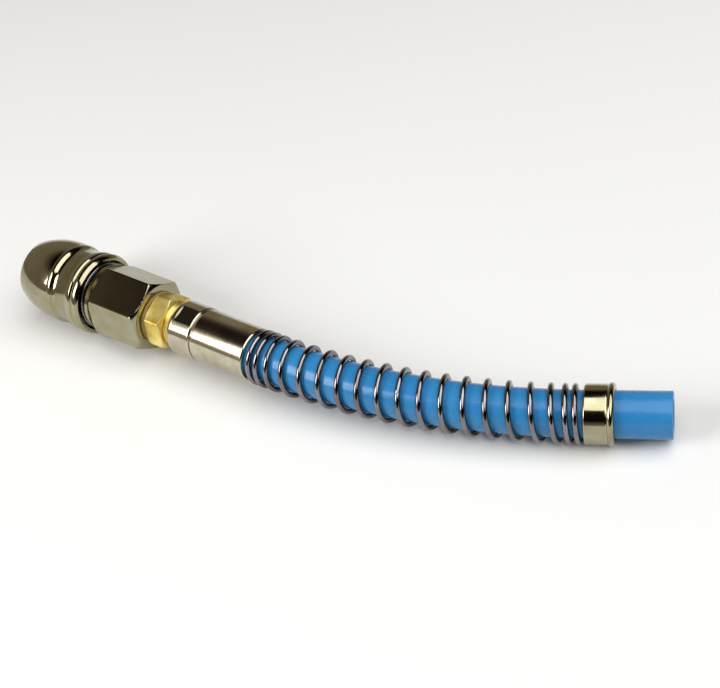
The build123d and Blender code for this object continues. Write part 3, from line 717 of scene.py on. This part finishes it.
def make_stem():
    """Brass stem: front thread, its own hex, the rear thread that shows, and the hose barb."""
    sizes = bpy.context.scene.coupler_sizes
    across, drop, hex_length, thread_length = 14.0 * MM, 0.75 * MM, 6.0 * MM, 8.5 * MM
    front, barb_end = stem_low.x, stem_high.x
    hex_front = washer_high.x + 0.01 * MM
    hex_rear = hex_front + hex_length
    thread_end = hex_rear + thread_length
    thread_r, bore_r, crest = 6.2 * MM, 3.0 * MM, HOSE_BORE_R - 0.02 * MM
    thread_chamfer, bore_chamfer, reach = 0.5 * MM, 0.3 * MM, 0.1 * MM
    cut_end = thread_end - 0.4 * MM
    barb_depth, barbs, rise = 0.45 * MM, 5, 0.3
    pitch = (barb_end - thread_end) / barbs
    steps = 100

    outline = [(front, bore_r + bore_chamfer, 0), (front, thread_r - thread_chamfer, 0)]
    outline += [(front + thread_chamfer, thread_r, 0), (hex_front, thread_r, 0)]
    outline += hex_outline(hex_front, hex_rear, across, drop)
    full_thread = thread_end - thread_chamfer - hex_rear
    outline += [(hex_rear + full_thread * i / steps, thread_r, 0) for i in range(steps + 1)]
    outline += [(thread_end, thread_r - thread_chamfer, 0), (thread_end, crest - barb_depth, 0)]
    for index in range(barbs):
        start = thread_end + index * pitch
        outline += [(start + rise * pitch, crest, 0.5), (start + pitch, crest - barb_depth, 0)]
    outline += [(barb_end, bore_r, 0), (front + bore_chamfer, bore_r, 0)]

    def shape(x, angle, r):
        if hex_front <= x <= hex_rear and r > thread_r + reach:
            return cut_to_hex(r, angle, across, sizes.hex_rounding)
        if hex_rear < x < cut_end and r > thread_r - reach:
            share = (x / sizes.thread_pitch - angle / math.tau) % 1.0
            return r - sizes.thread_depth * (0.5 + 0.5 * math.cos(math.tau * share))
        return r

    piece = turned("stem_brass", outline, HEX_SIDES, shape=shape)
    finish(piece, machined_brass())
    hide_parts("hose_stem")
    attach(piece, "coupler_body")


def make_nut():
    """Hose nut: rounded front edge, band with two wrench flats, a turned line and a plain tube."""
    sizes = bpy.context.scene.coupler_sizes
    front, rear = nut_low.x, nut_high.x
    band_r = nut_high.z
    tube_r = band_r - 0.25 * MM
    thread_r, bore_r = 6.25 * MM, hose_r + 0.1 * MM
    thread_end = front + 6.1 * MM
    line_x = front + sizes.nut_band
    line_end = line_x + sizes.nut_line
    line_depth, chamfer, edge = 0.3 * MM, 0.3 * MM, 0.1 * MM
    flat_r, flat_turn = band_r - 0.45 * MM, math.radians(104)
    flat_front, flat_rear = front + 1.6 * MM, line_x - 0.8 * MM
    bore_reach = bore_r + 0.5 * MM

    # (x, radius) of the points that the rounded front edge runs through
    edge_front = (front, band_r - 1.1 * MM)
    edge_middle = (front + 0.3 * MM, band_r - 0.31 * MM)
    edge_rear = (front + 1.2 * MM, band_r)
    outline = arc(edge_front, edge_middle, edge_rear, count=14)

    # Two rings of points close together keep each end of the flats steep
    apart = 0.02 * MM
    for end in (flat_front, flat_rear):
        outline += [(end - apart, band_r, 0), (end + apart, band_r, 0)]
    outline += rounded_open(
        [
            (flat_rear + 0.1 * MM, band_r, 0),
            (line_x - chamfer, band_r, 0.2 * MM),
            (line_x, band_r - chamfer, edge),
            (line_x, tube_r - line_depth, 0),
            (line_end, tube_r - line_depth, 0),
            (line_end, tube_r - 0.1 * MM, 0.05 * MM),
            (line_end + chamfer, tube_r, 0.2 * MM),
            (rear - chamfer, tube_r, 0.2 * MM),
            (rear, tube_r - chamfer, edge),
            (rear, bore_r, edge),
            (thread_end, bore_r, 0),
            (thread_end, thread_r, 0),
            (front, thread_r, edge),
            (front, band_r - 1.15 * MM, 0),
        ]
    )

    def shape(x, angle, r):
        if flat_front < x < flat_rear and r >= bore_reach:
            for turn in (flat_turn, flat_turn + math.pi):
                share = math.cos(angle - turn)
                if share > FACING:
                    return min(r, flat_r / share)
        return r

    piece = turned("nut_shell", outline, HEX_SIDES, shape=shape)
    finish(piece, satin_nickel())
    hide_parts("hose_nut")
    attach(piece, "coupler_body")


def guard_points():
    """Centre line of the guard's wire, wound round the hose's bent line from end to end of the guard."""
    sizes = bpy.context.scene.coupler_sizes
    mean_r = hose_r + HOSE_GAP + sizes.wire
    per_turn, finer, end_gap = 12, 3, 0.05 * MM
    distance = sizes.wire + end_gap
    last = GUARD_LENGTH - distance
    angle = math.radians(270)  # The wire's front end lies underneath
    points = []
    while distance < last:
        edge = min(distance, GUARD_LENGTH - distance)
        share = min(1.0, max(0.0, edge / sizes.ramp))
        pitch = sizes.end_pitch + (sizes.open_pitch - sizes.end_pitch) * share * share * (3 - 2 * share)
        for k in range(finer):
            turn = angle + math.tau * k / (per_turn * finer)
            x = nut_rear + distance + pitch * k / (per_turn * finer)
            points.append(along_hose(Vector((x, mean_r * math.cos(turn), mean_r * math.sin(turn)))))
        distance += pitch / per_turn
        angle += math.tau / per_turn
    return points


def make_guard():
    """Spring guard in two lengths of wire, split at the guard's middle."""
    sizes = bpy.context.scene.coupler_sizes
    path = guard_points()
    middle = min(range(len(path)), key=lambda i: (path[i] - at_distance(0.5)).length)
    finish_wire = plated_wire()
    # The lengths overlap by two points, so that their rounded ends lie inside each other
    halves = [
        ("guard_wire_front", path[: middle + 2], "coupler_body", "guard", (0.0, 0.5)),
        ("guard_wire_rear", path[middle - 1 :], "guard", "guard_end", (0.5, 1.0)),
    ]
    for name, points, before, after, (start, end) in halves:
        piece = tube(name, points, sizes.wire)
        finish(piece, finish_wire)
        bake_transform(piece)
        if before == "coupler_body":
            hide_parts("guard_spring")


def make_end_ring():
    """Plated ring on the guard's far end, with a rolled bright lip."""
    start, end = nut_rear + GUARD_LENGTH, nut_rear + GUARD_LENGTH + RING_LENGTH
    lip_length, lip_stand, lip_wall = 1.6 * MM, 0.4 * MM, 0.7 * MM
    chamfer, edge = 0.3 * MM, 0.1 * MM
    bore_r = hose_r + HOSE_GAP
    ring_r = bore_r + 1.4 * MM
    lip_x = end - lip_length
    outline = rounded_open(
        [
            (start, bore_r, 0),
            (start, ring_r - chamfer, 0.15 * MM),
            (start + chamfer, ring_r, 0.15 * MM),
            (lip_x - 0.35 * MM, ring_r, edge),
            (lip_x - 0.1 * MM, ring_r - 0.12 * MM, edge),
            (lip_x, ring_r, 0),
        ]
    )
    lip_top, lip_end = (lip_x + lip_length / 2, ring_r + lip_stand), (end, bore_r + lip_wall)
    outline += arc((lip_x, ring_r), lip_top, lip_end, count=20)
    outline += [(end, bore_r + chamfer, 0.5), (end - chamfer, bore_r, 0)]
    piece = turned("end_ring_shell", outline, place=along_hose)
    finish(piece, bright_nickel(GUARD_BEND))
    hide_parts("guard_end_ring")
    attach(piece, "guard_end")


def make_hose():
    """Hose end in two lengths, split at the guard's middle, with its bore open at the tail."""
    middle = nut_rear + GUARD_LENGTH / 2
    step, tail_edge, sides = 1.5 * MM, 0.35 * MM, 120
    material = blue_polyurethane()
    halves = [
        ("hose_front", HOSE_START, middle, 0.0, "coupler_body", "guard", (0.0, 0.5)),
        ("hose_rear", middle, hose_end, tail_edge, "guard", "guard_end", (0.5, 1.0)),
    ]
    for name, low, high, edge, before, after, (first, last) in halves:
        corners = [(low, HOSE_BORE_R, 0), (low, hose_r, 0), (high, hose_r, edge), (high, HOSE_BORE_R, edge)]
        piece = turned(name, rounded(corners, step), sides, place=along_hose)
        finish(piece, material)
        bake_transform(piece)
        if before == "coupler_body":
            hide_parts("hose")


def make_inner_springs():
    """Return spring and valve spring, each wound to the length of its imported coil."""
    # The coils' steel is darkened as painted shade for the gap between the sleeve and the hex
    material = spring_steel_painted_dark()
    springs = [
        ("return_coil", "return_spring", 0.45 * MM, 6, "slip_washer"),
        ("valve_coil", "valve_spring", 0.40 * MM, 4, "valve"),
    ]
    for name, node, wire, turns, mover in springs:
        low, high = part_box(node)
        path = helix(low.x + wire, high.x - wire, high.z - wire, turns)
        piece = tube(name, path, wire, sides=12)
        finish(piece, material)
        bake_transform(piece)
        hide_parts(node)


def make_small_parts():
    """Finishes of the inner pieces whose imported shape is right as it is."""
    steel, rubber, brass = bearing_steel(), nitrile_rubber(), machined_brass()
    kept = {
        "nose_body": bright_nickel(),
        "snap_ring": steel,
        "slip_washer": steel,
        "plug_packing": rubber,
        "body_o_ring": rubber,
        "valve_seal": rubber,
        "valve_poppet": brass,
        "valve_plate": brass,
        "thread_washer": pressed_fibre(),
    }
    balls = {name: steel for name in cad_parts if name.startswith("lock_ball_")}
    for name, material in {**kept, **balls}.items():
        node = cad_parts[name]
        for slot in node.material_slots:
            slot.link = "OBJECT"
            slot.material = material


# ---------------------------------------------------------------- stage

# Softboxes: their width and height, and their place from the nut's rear face, in metres
OVERHEAD_SIZE, OVERHEAD_PLACE = (1.25, 1.25), Vector((0.42, 0.04, 0.92))
FRONT_SIZE, FRONT_PLACE = (0.42, 0.5), Vector((-0.36, -0.65, 0.46))

# The studio's walls darken upwards, and sooner on the side that the hose points to. Each colour
# stands with its height along SKY_UP
SKY_UP = (0.45, 0, 0.9)
SKY = ((0.2, "#958A78"), (0.31, "#6C6256"), (0.41, "#140F0D"))

# Width of the camera's sensor, in millimetres
SENSOR = 36.0


def make_floor():
    """Wide round floor that touches the sleeve's rim and the end ring's lip."""
    rim_middle = 1.5 * MM  # From the sleeve's rear face
    rim = Vector((sleeve_high.x - rim_middle, 0, -sleeve_high.z))
    lip = Vector(((ring_low.x + ring_high.x) / 2, 0, ring_low.z))
    slope = math.atan2(lip.z - rim.z, lip.x - rim.x)
    radius, sides = 4.0, 96
    turns = [math.tau * i / sides for i in range(sides)]
    mesh = bpy.data.meshes.new("studio_floor")
    points = [(radius * math.cos(t), radius * math.sin(t), 0) for t in turns]
    mesh.from_pydata(points, [], [tuple(range(sides))])
    floor = bpy.data.objects.new("studio_floor", mesh)
    bpy.context.scene.collection.objects.link(floor)
    mesh.materials.append(painted_floor())
    floor.matrix_world = Matrix.Translation(rim) @ Matrix.Rotation(-slope, 4, "Y")


def make_light(name, power, size, place, target):
    """Rectangular softbox of a (width, height) size at a place, facing a target."""
    data = bpy.data.lights.new(name, "AREA")
    data.shape = "RECTANGLE"
    data.size, data.size_y = size
    data.energy = power
    lamp = bpy.data.objects.new(name, data)
    bpy.context.scene.collection.objects.link(lamp)
    lamp.location = place
    lamp.rotation_euler = (target - place).to_track_quat("-Z", "Y").to_euler()


def make_world():
    """Dark warm studio above a pale horizon."""
    world = bpy.data.worlds.new("studio")
    bpy.context.scene.world = world
    world.use_nodes = True
    tree = world.node_tree
    tree.nodes.clear()
    coords = add(tree, "ShaderNodeTexCoord").outputs["Generated"]
    dot = add(tree, "ShaderNodeVectorMath", {0: coords, 1: SKY_UP}, operation="DOT_PRODUCT")
    heights = [(height, linear(text)) for height, text in SKY]
    tones = add(tree, RAMP, {"Fac": dot.outputs["Value"]}, heights).outputs["Color"]
    light = add(tree, "ShaderNodeBackground", {"Color": tones, "Strength": 1.0})
    add(tree, "ShaderNodeOutputWorld", {"Surface": light.outputs["Background"]})


def make_camera():
    """Long lens at the coupler's right front, rolled so that the coupler slopes down to the right."""
    stage = bpy.context.scene.coupler_stage
    low, high = (Vector(corner) for corner in cad_box)
    target = (low + high) / 2
    target.z = 0
    flat = math.cos(stage.elevation)
    back = Vector((math.sin(stage.azimuth) * flat, -math.cos(stage.azimuth) * flat, math.sin(stage.elevation)))
    place = target + back * stage.distance
    facing = (-back).to_track_quat("-Z", "Y").to_matrix().to_4x4()
    pose = Matrix.Translation(place) @ facing @ Matrix.Rotation(-stage.roll, 4, "Z")

    # The lens and the camera's heading centre the coupler's line across the picture
    inverse = pose.inverted()
    line = [Vector((0, 0, 0)), at_distance(0.5), at_distance(1.0), along_hose(Vector((hose_end, 0, 0)))]
    across = [p.x / -p.z for p in (inverse @ point for point in line)]
    middle = (max(across) + min(across)) / 2
    width = max(across) - min(across) + 2 * sleeve_high.z / stage.distance
    pose = pose @ Matrix.Rotation(-math.atan(middle), 4, "Y")
    data = bpy.data.cameras.new("camera")
    data.sensor_width = SENSOR
    data.lens = SENSOR * stage.fill / width
    data.clip_start, data.clip_end = 0.01, 20.0
    camera = bpy.data.objects.new("camera", data)
    bpy.context.scene.collection.objects.link(camera)
    camera.matrix_world = pose
    bpy.context.scene.camera = camera


def make_stage():
    """Floor, softboxes, world and camera."""
    stage = bpy.context.scene.coupler_stage
    bpy.context.scene.view_settings.view_transform = "Standard"
    make_floor()
    make_world()
    target = at_distance(0)
    make_light("overhead_softbox", stage.key, OVERHEAD_SIZE, target + OVERHEAD_PLACE, target)
    make_light("front_softbox", stage.front, FRONT_SIZE, target + FRONT_PLACE, target)
    make_camera()


# ---------------------------------------------------------------- add-on


class COUPLER_OT_sleeve(bpy.types.Operator):
    """Make the release sleeve"""

    bl_idname = "coupler.make_sleeve"
    bl_label = "Release Sleeve"
    bl_options = {"REGISTER", "UNDO"}

    def execute(self, context):
        make_sleeve()
        return {"FINISHED"}


class COUPLER_OT_hex_body(bpy.types.Operator):
    """Make the plated hex body"""

    bl_idname = "coupler.make_hex_body"
    bl_label = "Hex Body"
    bl_options = {"REGISTER", "UNDO"}

    def execute(self, context):
        make_hex_body()
        return {"FINISHED"}


class COUPLER_OT_stem(bpy.types.Operator):
    """Make the brass hose stem"""

    bl_idname = "coupler.make_stem"
    bl_label = "Hose Stem"
    bl_options = {"REGISTER", "UNDO"}

    def execute(self, context):
        make_stem()
        return {"FINISHED"}


class COUPLER_OT_nut(bpy.types.Operator):
    """Make the hose nut"""

    bl_idname = "coupler.make_nut"
    bl_label = "Hose Nut"
    bl_options = {"REGISTER", "UNDO"}

    def execute(self, context):
        make_nut()
        return {"FINISHED"}


class COUPLER_OT_guard(bpy.types.Operator):
    """Make the spring guard's wire"""

    bl_idname = "coupler.make_guard"
    bl_label = "Spring Guard"
    bl_options = {"REGISTER", "UNDO"}

    def execute(self, context):
        make_guard()
        return {"FINISHED"}


class COUPLER_OT_end_ring(bpy.types.Operator):
    """Make the guard's end ring"""

    bl_idname = "coupler.make_end_ring"
    bl_label = "End Ring"
    bl_options = {"REGISTER", "UNDO"}

    def execute(self, context):
        make_end_ring()
        return {"FINISHED"}


class COUPLER_OT_hose(bpy.types.Operator):
    """Make the hose end"""

    bl_idname = "coupler.make_hose"
    bl_label = "Hose"
    bl_options = {"REGISTER", "UNDO"}

    def execute(self, context):
        make_hose()
        return {"FINISHED"}


class COUPLER_OT_inner_springs(bpy.types.Operator):
    """Make the return spring and the valve spring"""

    bl_idname = "coupler.make_inner_springs"
    bl_label = "Inner Springs"
    bl_options = {"REGISTER", "UNDO"}

    def execute(self, context):
        make_inner_springs()
        return {"FINISHED"}


class COUPLER_OT_small_parts(bpy.types.Operator):
    """Finish the balls, seals, rings and valve"""

    bl_idname = "coupler.finish_small_parts"
    bl_label = "Small Parts"
    bl_options = {"REGISTER", "UNDO"}

    def execute(self, context):
        make_small_parts()
        return {"FINISHED"}


class COUPLER_OT_stage(bpy.types.Operator):
    """Set up the floor, the lights and the camera"""

    bl_idname = "coupler.make_stage"
    bl_label = "Stage"
    bl_options = {"REGISTER", "UNDO"}

    def execute(self, context):
        make_stage()
        return {"FINISHED"}


MAKERS = (
    COUPLER_OT_sleeve,
    COUPLER_OT_hex_body,
    COUPLER_OT_stem,
    COUPLER_OT_nut,
    COUPLER_OT_guard,
    COUPLER_OT_end_ring,
    COUPLER_OT_hose,
    COUPLER_OT_inner_springs,
    COUPLER_OT_small_parts,
    COUPLER_OT_stage,
)


class COUPLER_PT_panel(bpy.types.Panel):
    """Buttons for each piece of the coupler"""

    bl_label = "Air Coupler"
    bl_idname = "COUPLER_PT_panel"
    bl_space_type = "VIEW_3D"
    bl_region_type = "UI"
    bl_category = "Coupler"

    def draw(self, context):
        """List the buttons, and below them the sizes, colours and stage values."""
        for maker in MAKERS:
            self.layout.operator(maker.bl_idname)
        for group in (context.scene.coupler_sizes, context.scene.coupler_colours, context.scene.coupler_stage):
            box = self.layout.box()
            for name in group.bl_rna.properties.keys():
                if name not in ("rna_type", "name"):
                    box.prop(group, name)


CLASSES = (CouplerSizes, CouplerColours, CouplerStage, *MAKERS, COUPLER_PT_panel)


def register():
    """Add the classes and the scene's sizes, colours and stage values."""
    for item in CLASSES:
        bpy.utils.register_class(item)
    bpy.types.Scene.coupler_sizes = PointerProperty(type=CouplerSizes)
    bpy.types.Scene.coupler_colours = PointerProperty(type=CouplerColours)
    bpy.types.Scene.coupler_stage = PointerProperty(type=CouplerStage)


def unregister():
    """Take away what register added."""
    del bpy.types.Scene.coupler_stage
    del bpy.types.Scene.coupler_colours
    del bpy.types.Scene.coupler_sizes
    for item in reversed(CLASSES):
        bpy.utils.unregister_class(item)


def main():
    """Build every piece and the stage."""
    register()
    for maker in MAKERS:
        group, name = maker.bl_idname.split(".")
        getattr(getattr(bpy.ops, group), name)()


if __name__ == "__main__":
    main()
